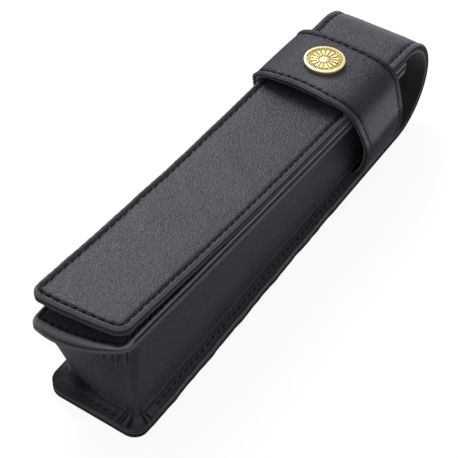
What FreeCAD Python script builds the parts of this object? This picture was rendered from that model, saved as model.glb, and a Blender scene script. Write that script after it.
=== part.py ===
import FreeCAD, Part
import math
import os

from FreeCAD import Placement, Rotation, Vector

# Leather pen case: a back panel folds over at the mouth and returns along the top as a tongue,
# which slides under a keeper band. A one-piece gusset joins the back panel to a front panel.
# Millimetres. X runs along the case to the mouth, Y across it, Z up from the table.

# Layers of every panel
leather = 1.1
board = 0.8
lining = 0.7
stitch_margin = 2.6

# Front panel, measured along itself from its mouth edge
front_length = 153.2
front_mouth_width = 33.8
front_end_width = 30.8
front_corner = 4.5
front_bow = 1.2
mouth_height = 30.7
closed_height = 37.0

# Back panel
lip_overhang = 3.6
side_flange = 4.3
back_corner = 5.0
board_stop = 5.0

# Mouth fold, measured from the front panel's mouth edge
fold_start = -0.4

# Tongue
tongue_margin = 0.6
tongue_setback = 4.0
tongue_corner = 3.0
tongue_bow = 0.9
tongue_rise = 3.5
slide_gap = 0.3
fold_gap = 0.3
draw_travel = 12.0
lift_clearance = 6.0
lift_gap = 0.3

# Gusset
gusset_leather = 1.2
gusset_lining = 0.6
gusset_corner = 4.5
gusset_bend = 1.8
side_lip = 2.9
end_flange = 5.6
flange_inset = 0.4
gusset_setback = 0.5

# Keeper band
keeper_width = 28.0
keeper_setback = 11.0
keeper_front_lean = 14.0
keeper_rear_lean = 10.0
keeper_flare = 4.0
keeper_gap = 3.8
keeper_side_gap = 1.0
keeper_drop = 2.2
keeper_corner = 4.6
keeper_side = 15.0
foot_gap = 0.2
foot_overrun = 1.2

# Badge and its fastening
badge_diameter = 13.2
badge_height = 1.7
badge_rim = 1.0
badge_dish = 0.45
badge_round = 0.3
badge_ring = 8.4
badge_ring_width = 0.5
badge_ring_height = 0.2
badge_post = 2.0
washer_diameter = 7.0
washer_thickness = 0.4
post_clearance = 0.05

# Sizes that follow
panel = leather + board + lining
skin = leather + board
tongue_top = 2.0 * panel + slide_gap
slope = math.asin((closed_height - mouth_height) / front_length)
gusset_width = front_end_width - 2.0 * side_lip
back_width = gusset_width + 2.0 * side_flange
tongue_tip_width = front_end_width - 2.0 * tongue_margin
tongue_root_width = front_mouth_width - 2.0 * tongue_margin
flange_top = panel + gusset_leather
fold_level = mouth_height + tongue_top * math.cos(slope) + fold_start * math.sin(slope)
fold_radius = fold_level / (1.0 + math.cos(slope))
fold_middle = -fold_start * math.cos(slope) + (tongue_top - fold_radius) * math.sin(slope)
front_reach = front_length * math.cos(slope)
mouth_x = (front_reach - fold_middle - fold_radius) / 2.0
back_end_x = mouth_x - front_reach + lip_overhang
fold_x = mouth_x + fold_middle
lift_x = -(keeper_setback + keeper_width + draw_travel + lift_clearance)
tip_x = tongue_setback - front_length
root_x = -fold_start - fold_gap
gusset_stop = fold_x - gusset_setback
far = 3.0 * front_length
touch = 0.01

# The front panel, tongue, keeper and badge are built level, then tilted about the mouth edge
top_frame = Placement(Vector(mouth_x, 0, mouth_height), Rotation(Vector(0, 1, 0), math.degrees(slope)))


def tilted(shape):
    placed = shape.copy()
    placed.Placement = top_frame.multiply(placed.Placement)
    return placed


def plan(end, mouth, corner, bow, low, high):
    # Slab with rounded corners and a bowed edge at its closed end; end and mouth are (x, width)
    end_x, end_half = end[0], end[1] / 2.0
    stop_x, stop_half = mouth[0], mouth[1] / 2.0
    near = Vector(end_x + bow, -end_half, low)
    far_side = Vector(end_x + bow, end_half, low)
    mouth_far = Vector(stop_x, stop_half, low)
    mouth_near = Vector(stop_x, -stop_half, low)
    if bow > 0:
        end_edge = Part.Arc(near, Vector(end_x, 0, low), far_side).toShape()
    else:
        end_edge = Part.makeLine(near, far_side)
    sides = [Part.makeLine(far_side, mouth_far), Part.makeLine(mouth_far, mouth_near)]
    sides.append(Part.makeLine(mouth_near, near))
    slab = Part.Face(Part.Wire([end_edge] + sides)).extrude(Vector(0, 0, high - low))
    upright = [e for e in slab.Edges if abs(e.Vertexes[0].Z - e.Vertexes[-1].Z) > (high - low) / 2.0]
    corners = [e for e in upright if abs(e.CenterOfMass.x - near.x) < touch]
    return slab.makeFillet(corner, corners)


def layered(slab, leather_below):
    # Outer leather with its edge turned over a board, and a lining on the other face
    if leather_below:
        outer = slab(0.0, 0.0, skin)
        stiffener = slab(stitch_margin, leather, skin)
        inner = slab(0.0, skin, panel)
    else:
        outer = slab(0.0, lining, panel)
        stiffener = slab(stitch_margin, lining, lining + board)
        inner = slab(0.0, 0.0, lining)
    return outer.cut(stiffener), stiffener, inner


def back_slab(inset, low, high):
    end = (back_end_x + inset, back_width - 2.0 * inset)
    stop = fold_x - (board_stop if inset > 0 else 0.0)
    return plan(end, (stop, end[1]), back_corner - inset, 0.0, low, high)


def front_slab(inset, low, high):
    end = (inset - front_length, front_end_width - 2.0 * inset)
    mouth = (-inset, front_mouth_width - 2.0 * inset)
    return plan(end, mouth, front_corner - inset, front_bow, low, high)


def tongue_width(x):
    # Width of the tapering tongue at a distance x from the front panel's mouth edge
    return tongue_root_width + (tongue_tip_width - tongue_root_width) * x / tip_x


def tongue_slab(inset, low, high):
    # The free tongue curls gently up from the lift line to its tip
    start = lift_x - lift_gap - inset
    end = (tip_x + inset, tongue_tip_width - 2.0 * inset)
    mouth = (start, tongue_width(start) - 2.0 * inset)
    outline = plan(end, mouth, tongue_corner - inset, tongue_bow, -far, far)
    run = lift_x - tip_x
    curl_radius = (run * run + tongue_rise * tongue_rise) / (2.0 * tongue_rise)
    base = panel + slide_gap
    return outline.common(curl_band(curl_radius, base + low, base + high))


def curl_band(radius, low, high):
    # Strip between two arcs about one centre above the lift line
    sweep = 2.0 * math.asin(front_length / (2.0 * radius))
    middle = Vector(lift_x, 0, panel + slide_gap + radius)

    def point(level, angle):
        arm = middle.z - level
        return middle + Vector(-arm * math.sin(angle), -far / 2.0, -arm * math.cos(angle))

    under = Part.Arc(point(low, 0.0), point(low, sweep / 2.0), point(low, sweep)).toShape()
    over = Part.Arc(point(high, sweep), point(high, sweep / 2.0), point(high, 0.0)).toShape()
    tip_edge = Part.makeLine(point(low, sweep), point(high, sweep))
    lift_edge = Part.makeLine(point(high, 0.0), point(low, 0.0))
    face = Part.Face(Part.Wire([under, tip_edge, over, lift_edge]))
    return face.extrude(Vector(0, far, 0))


def tongue_root(low, high):
    # Flat part of the tongue under the keeper, from the lift line to the fold
    base = panel + slide_gap
    lift_half = tongue_width(lift_x) / 2.0
    root_half = tongue_width(root_x) / 2.0
    corners = [Vector(lift_x, -lift_half, base + low), Vector(root_x, -root_half, base + low)]
    corners += [Vector(root_x, root_half, base + low), Vector(lift_x, lift_half, base + low)]
    face = Part.Face(Part.makePolygon(corners + corners[:1]))
    return face.extrude(Vector(0, 0, high - low))


def fold_layer(inner, outer):
    # Strip bent from the back panel up to the tongue, narrowing as it rises
    middle = Vector(fold_x, -far / 2.0, fold_radius)
    turn = math.pi - slope

    def point(radius, angle):
        return middle + Vector(radius * math.sin(angle), 0, -radius * math.cos(angle))

    outside = Part.Arc(point(outer, 0.0), point(outer, turn / 2.0), point(outer, turn)).toShape()
    inside = Part.Arc(point(inner, turn), point(inner, turn / 2.0), point(inner, 0.0)).toShape()
    top_edge = Part.makeLine(point(outer, turn), point(inner, turn))
    low_edge = Part.makeLine(point(inner, 0.0), point(outer, 0.0))
    bend = Part.Face(Part.Wire([outside, top_edge, inside, low_edge])).extrude(Vector(0, far, 0))
    low_half = back_width / 2.0
    top_half = tongue_width(-fold_start) / 2.0
    height = 2.0 * fold_radius
    trim = [Vector(-far / 2.0, -low_half, 0), Vector(-far / 2.0, low_half, 0)]
    trim += [Vector(-far / 2.0, top_half, height), Vector(-far / 2.0, -top_half, height)]
    wedge = Part.Face(Part.makePolygon(trim + trim[:1])).extrude(Vector(far, 0, 0))
    return bend.common(wedge)


def under_front():
    # Everything below the plane of the front panel's underside
    return tilted(Part.makeBox(2.0 * far, 2.0 * far, far, Vector(-far, -far, -far)))


def pocket(inset, low, high):
    # Upright block with the gusset's outline, set in by inset
    end = (back_end_x + end_flange + inset, gusset_width - 2.0 * inset)
    mouth = (gusset_stop + inset, end[1])
    return plan(end, mouth, gusset_corner - inset, 0.0, low, high)


def gusset_shell():
    # One strip up the sides and round the end, with both edges turned out under the seams
    tall = closed_height + panel
    wall = pocket(0.0, panel, tall)
    low_end = (back_end_x + flange_inset, back_width - 2.0 * flange_inset)
    foot = plan(low_end, (gusset_stop, low_end[1]), back_corner - flange_inset, 0.0, panel, flange_top)
    top_end = (flange_inset - front_length, front_end_width - 2.0 * flange_inset)
    top_mouth = (0.0, front_mouth_width - 2.0 * flange_inset)
    top_corner = front_corner - flange_inset
    head = tilted(plan(top_end, top_mouth, top_corner, front_bow, -gusset_leather, 0.0))
    mouth_trim = Part.makeBox(far, far, far, Vector(gusset_stop - far, -far / 2.0, -far / 2.0))
    body = wall.fuse([foot, head.common(mouth_trim)]).common(under_front()).removeSplitter()
    bent = body.makeFillet(gusset_bend, bend_edges(body))
    return bent.cut(pocket(gusset_leather, 0.0, 2.0 * tall))


def bend_edges(body):
    # Inside corners where the wall turns out into its two flanges
    low_x = back_end_x + end_flange - touch
    high_x = gusset_stop - touch
    half = gusset_width / 2.0 + touch
    found = []
    for edge in body.Edges:
        centre = edge.CenterOfMass
        level = edge.BoundBox.ZLength < mouth_height / 2.0
        if level and low_x < centre.x < high_x and abs(centre.y) < half:
            found.append(edge)
    return found


def gusset_liner():
    tall = closed_height + panel
    outside = pocket(gusset_leather, panel, tall)
    inside = pocket(gusset_leather + gusset_lining, 0.0, 2.0 * tall)
    stop = Part.makeBox(far, far, far, Vector(gusset_stop - far, -far / 2.0, -far / 2.0))
    return outside.cut(inside).common(stop).common(under_front())


# Keeper sizes that follow
keeper_half = tongue_width(-keeper_setback) / 2.0 + keeper_side_gap
keeper_crown = tongue_top + keeper_gap
keeper_spring = tongue_top - keeper_drop
keeper_rise = keeper_crown - keeper_spring
crown_run = keeper_half - keeper_corner
crown_span = crown_run ** 2 + keeper_rise ** 2 - keeper_corner ** 2
crown_radius = crown_span / (2.0 * (keeper_rise - keeper_corner))
keeper_foot = flange_top - mouth_height - keeper_width * math.sin(slope)
side_turn = math.pi / 2.0 - math.radians(keeper_flare)
foot_half = gusset_width / 2.0 + gusset_bend + foot_gap
badge_x = -(keeper_setback + keeper_width / 2.0)
badge_seat = keeper_crown + lining + leather


def arch(offset):
    # Filled cross-section of the keeper: flat crown, round shoulders, flared sides tucked in at the foot
    crown_middle = Vector(0, 0, keeper_crown - crown_radius)
    lean_out = math.atan2(crown_run, keeper_spring - crown_middle.z)

    def polar(middle, radius, angle):
        return middle + Vector(0, radius * math.sin(angle), radius * math.cos(angle))

    shoulder = Vector(0, crown_run, keeper_spring)
    outward = polar(Vector(0, 0, 0), 1.0, side_turn)
    downward = polar(Vector(0, 0, 0), 1.0, side_turn + math.pi / 2.0)
    side_low = polar(shoulder, keeper_corner, side_turn) + downward * keeper_side
    fall = Vector(0, foot_half, keeper_foot) - side_low
    tuck_radius = -fall.dot(fall) / (2.0 * fall.dot(outward))
    tuck = side_low - outward * tuck_radius
    tuck_turn = 2.0 * math.atan2(-fall.dot(outward), fall.dot(downward)) * foot_overrun
    join = polar(crown_middle, crown_radius + offset, lean_out)
    bend = polar(shoulder, keeper_corner + offset, (lean_out + side_turn) / 2.0)
    spring = polar(shoulder, keeper_corner + offset, side_turn)
    side_end = side_low + outward * offset
    swell = polar(tuck, tuck_radius + offset, side_turn + tuck_turn / 2.0)
    foot = polar(tuck, tuck_radius + offset, side_turn + tuck_turn)

    def flip(point):
        return Vector(point.x, -point.y, point.z)

    crown = Part.Arc(flip(join), Vector(0, 0, keeper_crown + offset), join).toShape()
    edges = [crown, Part.Arc(join, bend, spring).toShape(), Part.makeLine(spring, side_end)]
    edges += [Part.Arc(side_end, swell, foot).toShape(), Part.makeLine(foot, flip(foot))]
    edges += [Part.Arc(flip(foot), flip(swell), flip(side_end)).toShape()]
    edges += [Part.makeLine(flip(side_end), flip(spring))]
    edges += [Part.Arc(flip(spring), flip(bend), flip(join)).toShape()]
    return Part.Face(Part.Wire(edges))


def arch_block(offset):
    face = arch(offset)
    face.translate(Vector(-front_length, 0, 0))
    return face.extrude(Vector(2.0 * front_length, 0, 0))


def keeper_layer(inner, outer):
    # Band cut to its width on a lean, standing on the gusset's lower flange
    low = keeper_foot - panel
    high = badge_seat + panel
    fall = keeper_crown - keeper_foot

    def edge(start, lean, level):
        return Vector(start + lean * (keeper_crown - level) / fall, -far, level)

    rear = -keeper_setback
    front = rear - keeper_width
    corners = [edge(front, keeper_front_lean, high), edge(rear, keeper_rear_lean, high)]
    corners += [edge(rear, keeper_rear_lean, low), edge(front, keeper_front_lean, low)]
    slant = Part.Face(Part.makePolygon(corners + corners[:1])).extrude(Vector(0, 2.0 * far, 0))
    band = tilted(arch_block(outer).cut(arch_block(inner)).common(slant))
    above = Part.makeBox(2.0 * far, 2.0 * far, far, Vector(-far, -far, flange_top))
    return band.common(above)


def round_bar(radius, low, high):
    return Part.makeCylinder(radius, high - low, Vector(badge_x, 0, low))


def badge():
    # Dished disc with a rounded rim and one raised ring, on a post through the keeper
    radius = badge_diameter / 2.0
    lid = badge_seat + badge_height
    floor = lid - badge_dish
    blank = round_bar(radius, badge_seat, lid)
    dish = round_bar(radius - badge_rim, floor, lid + badge_height)
    rim = blank.cut(dish)
    top_edges = [e for e in rim.Edges if abs(e.CenterOfMass.z - lid) < touch and len(e.Vertexes) == 1]
    disc = rim.makeFillet(badge_round, top_edges)
    ring = round_bar(badge_ring / 2.0, floor - touch, floor + badge_ring_height)
    ring = ring.cut(round_bar(badge_ring / 2.0 - badge_ring_width, badge_seat, lid))
    post = round_bar(badge_post / 2.0, keeper_crown + lining, badge_seat + touch)
    return tilted(disc.fuse([ring, post]).removeSplitter())


def washer():
    seat = keeper_crown + lining
    ring = round_bar(washer_diameter / 2.0, seat, seat + washer_thickness)
    return tilted(ring.cut(round_bar(badge_post / 2.0 + post_clearance, seat, badge_seat)))


def keeper_outer():
    band = keeper_layer(lining, lining + leather)
    seat = keeper_crown + lining
    hole = round_bar(badge_post / 2.0 + post_clearance, keeper_crown, badge_seat + panel)
    recess = round_bar(washer_diameter / 2.0 + post_clearance, keeper_crown, seat + washer_thickness)
    return band.cut(tilted(hole)).cut(tilted(recess))


def build():
    shapes = {}
    names = ("leather", "board", "lining")
    for name, layer in zip(names, layered(back_slab, True)):
        shapes["back_" + name] = layer
    for name, layer in zip(names, layered(front_slab, False)):
        shapes["front_" + name] = tilted(layer)
    for name, layer in zip(names, layered(tongue_slab, False)):
        shapes["tongue_" + name] = tilted(layer)
    shapes["tongue_root_leather"] = tilted(tongue_root(lining, panel))
    shapes["tongue_root_lining"] = tilted(tongue_root(0.0, lining))
    shapes["fold_leather"] = fold_layer(fold_radius - skin, fold_radius)
    shapes["fold_lining"] = fold_layer(fold_radius - panel, fold_radius - skin)
    shapes["gusset_leather"] = gusset_shell()
    shapes["gusset_lining"] = gusset_liner()
    shapes["keeper_leather"] = keeper_outer()
    shapes["keeper_lining"] = keeper_layer(0.0, lining)
    shapes["badge_disc"] = badge()
    shapes["badge_washer"] = washer()
    return shapes


os.makedirs("parts", exist_ok=True)
for node, shape in build().items():
    shape.exportStep(os.path.join("parts", node + ".step"))
    print(node, len(shape.Solids), round(shape.Volume, 1), shape.isValid())
print("overall length", round(front_reach + fold_middle + fold_radius, 2))
print("lift line", lift_x, "slope", round(math.degrees(slope), 3), "fold radius", round(fold_radius, 2))
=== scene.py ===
import bpy
import bmesh
import numpy as np
from math import asin, atan2, copysign, cos, exp, hypot, pi, radians, sin, sqrt
from mathutils import Matrix, Vector


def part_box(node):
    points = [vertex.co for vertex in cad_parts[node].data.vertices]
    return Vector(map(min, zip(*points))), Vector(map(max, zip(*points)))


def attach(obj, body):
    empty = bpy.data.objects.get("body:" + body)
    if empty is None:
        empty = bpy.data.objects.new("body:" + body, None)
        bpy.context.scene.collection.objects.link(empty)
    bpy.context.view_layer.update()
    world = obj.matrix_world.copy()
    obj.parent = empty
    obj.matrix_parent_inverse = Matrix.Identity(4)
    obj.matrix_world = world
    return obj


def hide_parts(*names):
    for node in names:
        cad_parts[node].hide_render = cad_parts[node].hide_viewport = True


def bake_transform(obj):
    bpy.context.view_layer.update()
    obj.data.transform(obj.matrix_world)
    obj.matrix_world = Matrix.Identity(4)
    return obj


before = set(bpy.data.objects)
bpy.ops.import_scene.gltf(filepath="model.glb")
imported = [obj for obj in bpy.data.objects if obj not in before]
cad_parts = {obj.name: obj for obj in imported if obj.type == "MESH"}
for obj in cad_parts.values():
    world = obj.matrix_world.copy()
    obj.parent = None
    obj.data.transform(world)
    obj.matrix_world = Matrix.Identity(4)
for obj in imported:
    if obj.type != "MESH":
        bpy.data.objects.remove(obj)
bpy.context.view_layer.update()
bpy.ops.object.select_all(action="DESELECT")
scene = bpy.context.scene
mm = 0.001
print("pen case: frame loaded")

# sizes that the panels share, in millimetres; the top of the case leans towards the mouth
frontLength, mouthZ, closedZ, foldStart, tongueTop = 153.2, 30.7, 37.0, -0.4, 5.5
panelThick, skinThick, flangeTop = 2.6, 1.9, 3.8
splitX, liftX, tipX, slideLift, tongueRise = -28.0, -57.0, -149.2, 2.9, 3.5
backHalf, rootHalf, splitHalf, tipHalf = 16.8, 16.3, 16.018, 14.8  # half widths along the strip
slope = asin((closedZ - mouthZ) / frontLength)
leanCos, leanSin = cos(slope), sin(slope)
foldRadius = (mouthZ + tongueTop * leanCos + foldStart * leanSin) / (1 + leanCos)
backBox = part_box("back_leather")
backEnd, foldX = backBox[0][0] / mm, backBox[1][0] / mm
mouthX = foldX - ((tongueTop - foldRadius) * leanSin - foldStart * leanCos)


def easeIn(value):
    value = min(max(value, 0.0), 1.0)
    return value * value * (3 - 2 * value)


# use has pulled the closed end a little askew: the lip's edge bows out around a line off its middle
askew = dict(
    lipFrom=115.0, lipRun=36.0, pullRun=150.0, lipShift=0.9, lipNarrow=0.13, lipOut=0.4, lipMiddle=10.0,
    lipBow=0.0092, underOut=1.0, underMiddle=-4.0, underBow=0.0108, underWide=0.08, panelBow=0.00506, baseLean=-0.6,
    leanFrom=10.0, leanRun=80.0, baseWander=0.2, baseHalf=17.0, wanderFrom=34.0, wanderRun=12.0,
    baseSeeds=(1.1, 4.4)
)
edgeWaves = ((0.5, 0.33, 1.0), (0.3, 0.71, 2.1), (0.2, 1.27, 3.3))  # height, pace and share of the seed


def uneven(run, seed):  # slow wander of a hand-cut edge, between -1 and 1
    return sum(height * sin(run * pace + share * seed) for height, pace, share in edgeWaves)


def settledLip(along, side, depth):  # depth runs from 0 on the front panel's face to 1 under its lining
    late = easeIn((-along - askew["lipFrom"]) / askew["lipRun"])
    flatter = askew["panelBow"] * side ** 2
    pulled = askew["lipShift"] + askew["lipNarrow"] * side - askew["underWide"] * max(side, 0.0) * depth
    side -= pulled * min(max(-along / askew["pullRun"], 0.0), 1.0) ** 2
    out = askew["lipOut"] + askew["underOut"] * depth
    middle = askew["lipMiddle"] + askew["underMiddle"] * depth
    bow = (askew["lipBow"] + askew["underBow"] * depth) * (side - middle) ** 2 - flatter
    return along + (bow - out) * late, side


def settledBase(x, y):
    wander = askew["baseWander"] * (y / askew["baseHalf"]) * easeIn((askew["wanderFrom"] - x) / askew["wanderRun"])
    wander *= uneven(x, askew["baseSeeds"][0 if y > 0 else 1])
    return y + askew["baseLean"] * easeIn((askew["leanFrom"] - x) / askew["leanRun"]) + wander


def topPoint(along, side, lift):  # a place measured on the leaning top, as a point in metres
    x = mouthX + along * leanCos + lift * leanSin
    z = mouthZ - along * leanSin + lift * leanCos
    return Vector((x, side, z)) * mm


def selectOnly(*pieces):  # the first one is active
    bpy.ops.object.select_all(action="DESELECT")
    for piece in pieces:
        piece.select_set(True)
    bpy.context.view_layer.objects.active = pieces[0]


def editOn(piece):  # edit mode with everything selected
    selectOnly(piece)
    bpy.ops.object.mode_set(mode="EDIT")
    bpy.ops.mesh.select_all(action="SELECT")


def editOff():
    bpy.ops.object.mode_set(mode="OBJECT")


def pick(piece, kind, test):  # select corners, edges or faces by their place
    bpy.ops.mesh.select_mode(type=kind)
    bpy.ops.mesh.select_all(action="DESELECT")
    bm = bmesh.from_edit_mesh(piece.data)
    for part in {"VERT": bm.verts, "EDGE": bm.edges, "FACE": bm.faces}[kind]:
        corners = [part] if kind == "VERT" else part.verts
        if test(sum((v.co for v in corners), Vector()) / len(corners)):
            part.select_set(True)
    bm.select_flush_mode()
    bmesh.update_edit_mesh(piece.data)


def pickRim(piece):  # open edges
    bpy.ops.mesh.select_mode(type="EDGE")
    bpy.ops.mesh.select_all(action="DESELECT")
    bpy.ops.mesh.select_non_manifold(extend=False, use_wire=False, use_boundary=True,
                                     use_multi_face=False, use_non_contiguous=False, use_verts=False)


def newBlank(name, adder, **size):
    bpy.ops.object.select_all(action="DESELECT")
    adder(**size)
    piece = bpy.context.object
    piece.name = name
    piece.data.name = name
    return piece


def applyAll(piece):
    selectOnly(piece)
    for modifier in list(piece.modifiers):
        bpy.ops.object.modifier_apply(modifier=modifier.name)


def tidyMesh(piece, outwards=True):
    editOn(piece)
    bpy.ops.mesh.remove_doubles(threshold=0.01 * mm)
    if outwards:
        bpy.ops.mesh.normals_make_consistent(inside=False)
    editOff()


def joinUp(pieces):
    selectOnly(*pieces)
    bpy.ops.object.join()
    return pieces[0]


def scatter(pattern, spots):  # copies of a small shape, one at each spot
    copies = []
    for spot in spots:
        copy = pattern.copy()
        copy.data = pattern.data.copy()
        copy.data.transform(spot)
        scene.collection.objects.link(copy)
        copies.append(copy)
    return copies


def places(piece):
    flat = np.zeros(len(piece.data.vertices) * 3)
    piece.data.vertices.foreach_get("co", flat)
    return flat.reshape(-1, 3)


def setPlaces(piece, where):
    piece.data.vertices.foreach_set("co", np.asarray(where, float).ravel())
    piece.data.update()


def paint(piece, name, values):  # a value at each corner for the material to read
    layer = piece.data.attributes.get(name) or piece.data.attributes.new(name, "FLOAT", "POINT")
    layer.data.foreach_set("value", np.clip(np.asarray(values, float), 0, 1).astype(np.float32))


def nearLine(points, line):  # distance to a closed line of points, and how far along it
    start = np.asarray(line, float)
    way = np.roll(start, -1, axis=0) - start
    size = np.sqrt((way ** 2).sum(1))
    before = np.concatenate([[0], np.cumsum(size)[:-1]])
    best, along = np.full(len(points), 1e9), np.zeros(len(points))
    for i in np.flatnonzero(size > 1e-9):
        share = np.clip(((points - start[i]) @ way[i]) / size[i] ** 2, 0, 1)
        gap = np.sqrt(((points - start[i] - share[:, None] * way[i]) ** 2).sum(1))
        closer = gap < best
        best[closer] = gap[closer]
        along[closer] = before[i] + share[closer] * size[i]
    return best, along


def addNode(tree, kind, sockets=None, **settings):
    made = tree.nodes.new("ShaderNode" + kind)
    for key, value in settings.items():
        setattr(made, key, value)
    for key, value in (sockets or {}).items():
        made.inputs[key].default_value = value
    return made


def clearTree(owner):
    owner.use_nodes = True
    owner.node_tree.nodes.clear()
    return owner.node_tree


def feed(tree, socket, value):  # link a socket, or set it to a number or a colour
    if isinstance(value, bpy.types.NodeSocket):
        tree.links.new(value, socket)
    else:
        socket.default_value = (*value, 1) if isinstance(value, tuple) else value


def newFinish(name, sockets):  # a material with its shader, and the coordinates that its textures read
    finish = bpy.data.materials.new(name)
    tree = clearTree(finish)
    skin = addNode(tree, "BsdfPrincipled", sockets)
    feed(tree, addNode(tree, "OutputMaterial").inputs["Surface"], skin.outputs["BSDF"])
    return finish, tree, skin.inputs, addNode(tree, "TexCoord").outputs["Object"]


def texture(tree, kind, where, sockets, **settings):
    made = addNode(tree, kind, sockets, **settings)
    tree.links.new(where, made.inputs["Vector"])
    return made.outputs["Vector" if kind == "Mapping" else "Distance" if kind == "TexVoronoi" else "Fac"]


def painted(tree, name):
    return addNode(tree, "Attribute", attribute_name=name).outputs["Fac"]


def figure(tree, operation, *values):
    made = addNode(tree, "Math", operation=operation)
    for socket, value in zip(made.inputs, values):
        feed(tree, socket, value)
    return made.outputs["Value"]


def tones(tree, source, stops):  # a colour ramp over a value
    ramp = addNode(tree, "ValToRGB")
    stops = list(stops)
    while len(ramp.color_ramp.elements) < len(stops):
        ramp.color_ramp.elements.new(0.5)
    for element, (place, colour) in zip(ramp.color_ramp.elements, stops):
        element.position = place
        element.color = (*colour, 1)
    tree.links.new(source, ramp.inputs["Fac"])
    return ramp.outputs["Color"]


def reach(tree, source, low, high, fromLow=0.0, fromHigh=1.0):
    ranged = addNode(tree, "MapRange", {"From Min": fromLow, "From Max": fromHigh, "To Min": low, "To Max": high})
    tree.links.new(source, ranged.inputs["Value"])
    return ranged.outputs["Result"]


def over(tree, under, colour, source, *share):  # lay a colour over another by a ranged value
    mixer = addNode(tree, "Mix", data_type="RGBA")
    for index, value in ((0, reach(tree, source, 0.0, *share)), (6, under), (7, colour)):  # the colours are 6 and 7
        feed(tree, mixer.inputs[index], value)
    return mixer.outputs[2]


def raised(tree, height, strength, depth, under=None):
    bump = addNode(tree, "Bump", {"Strength": strength, "Distance": depth})
    tree.links.new(height, bump.inputs["Height"])
    if under:
        tree.links.new(under, bump.inputs["Normal"])
    return bump.outputs["Normal"]


def leatherFinish(name, look):
    finish, tree, skin, where = newFinish(name, {"Specular IOR Level": look["shine"]})
    mottle = texture(tree, "TexNoise", where, {"Scale": look["mottle"], "Detail": 4.0, "Roughness": 0.6})
    pebble = texture(tree, "TexVoronoi", where, {"Scale": look["grain"], "Smoothness": 0.7, "Randomness": 1.0},
                     feature="SMOOTH_F1")
    poreScale, creaseScale = look["grain"] * look["poreScale"], look["grain"] * look["creaseScale"]
    pore = texture(tree, "TexNoise", where, {"Scale": poreScale, "Detail": 2.0, "Roughness": 0.6})
    crease = texture(tree, "TexNoise", where, {"Scale": creaseScale, "Detail": 5.0, "Distortion": 0.8})
    rim, sewn, inkAndShade, flex = (painted(tree, layer) for layer in ("rim", "sewn", "inkAndShade", "flex"))
    base = tones(tree, mottle, zip(look["stops"], (look["dark"], look["mid"], look["light"])))
    grained = over(tree, base, look["valley"], pebble, look["depth"], *look["pebble"])
    fine = over(tree, grained, look["light"], pore, look["poreShare"], *look["pore"])
    # rim paint lays a pale edge tone, part wear and part painted highlight; the ink paint lays edge ink and painted
    # shade
    wornAndHighlit = over(tree, fine, look["edge"], rim, look["wearAndLight"])
    inked = over(tree, wornAndHighlit, look["inkAndShade"], inkAndShade, look["inkShare"])
    # sewn paint darkens the stitch holes, and on the gusset lays painted shade in its folds
    feed(tree, skin["Base Color"], over(tree, inked, look["valley"], sewn, look["sewnShare"]))
    rough = reach(tree, mottle, *look["rough"])
    gloss = figure(tree, "SUBTRACT", rough, figure(tree, "MULTIPLY", rim, look["polish"]))
    feed(tree, skin["Roughness"], figure(tree, "MULTIPLY_ADD", inkAndShade, look["matt"], gloss))
    creased = figure(tree, "MULTIPLY", crease, reach(tree, flex, look["crease"], look["flexed"]))
    soft = raised(tree, creased, 1.0, look["creaseDeep"])
    grain = raised(tree, pebble, look["relief"], look["grainDeep"], soft)
    feed(tree, skin["Normal"], raised(tree, pore, look["relief"] * look["poreRelief"], look["poreDeep"], grain))
    return finish


# edge: pale tone of the rim paint, part wear and part painted highlight; ink: dark tone of edge ink and of painted
# shade
topLook = dict(
    dark=(0.034, 0.035, 0.048), mid=(0.040, 0.041, 0.055), light=(0.060, 0.061, 0.078),
    valley=(0.006, 0.006, 0.010), edge=(0.185, 0.184, 0.200), inkAndShade=(0.009, 0.0095, 0.012), mottle=45.0, grain=2000.0,
    stops=(0.28, 0.5, 0.74), depth=0.55, pebble=(0.3, 0.8), poreShare=0.6, pore=(0.5, 0.7), wearAndLight=0.9, inkShare=0.9,
    sewnShare=0.85, rough=(0.31, 0.44, 0.25, 0.75), polish=0.05, matt=0.65, relief=0.7, crease=0.03, flexed=0.8,
    creaseDeep=0.0005, grainDeep=0.00022, poreDeep=0.00009, shine=0.17, poreScale=1.3, creaseScale=0.16,
    poreRelief=0.5
)
# the gusset's edge tone is laid only as painted light: highlights, and a lighter flange and lower wall
gussetLook = dict(
    topLook, dark=(0.019, 0.022, 0.031), mid=(0.022, 0.025, 0.035), light=(0.031, 0.035, 0.046),
    valley=(0.006, 0.007, 0.010), edge=(0.100, 0.102, 0.112), rough=(0.44, 0.57, 0.25, 0.75), crease=0.2,
    flexed=0.2, shine=0.08, depth=0.8, relief=1.0
)
keeperLook = dict(
    topLook, dark=(0.050, 0.051, 0.066), mid=(0.057, 0.058, 0.074), light=(0.086, 0.087, 0.106), shine=0.11,
    depth=0.8, relief=1.0
)
topLeather = leatherFinish("topLeather", topLook)
keeperLeather = leatherFinish("keeperLeather", keeperLook)
gussetLeather = leatherFinish("gussetLeather", gussetLook)


def plainFinish(name, look):  # one texture for the tint and, where it is named, a finer one for the surface
    finish, tree, skin, where = newFinish(name, look["shader"])
    if "turn" in look:
        where = texture(tree, "Mapping", where, look["turn"])
    tint = texture(tree, look.get("kind", "TexNoise"), where, look["tint"])
    fine = texture(tree, "TexNoise", where, look["fine"]) if "fine" in look else tint
    colour = tones(tree, tint, zip(look["stops"], (look["dark"], look["light"])))
    if "tip" in look:
        colour = over(tree, colour, look["tip"], fine, *look["tipRange"])
    if "layer" in look:  # a second tone where the piece is painted
        colour = over(tree, colour, look["edge"], painted(tree, look["layer"]), look["cover"])
    feed(tree, skin["Base Color"], colour)
    feed(tree, skin["Roughness"], reach(tree, fine if look["glossFine"] else tint, *look["rough"]))
    feed(tree, skin["Normal"], raised(tree, fine, *look["relief"]))
    return finish


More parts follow.
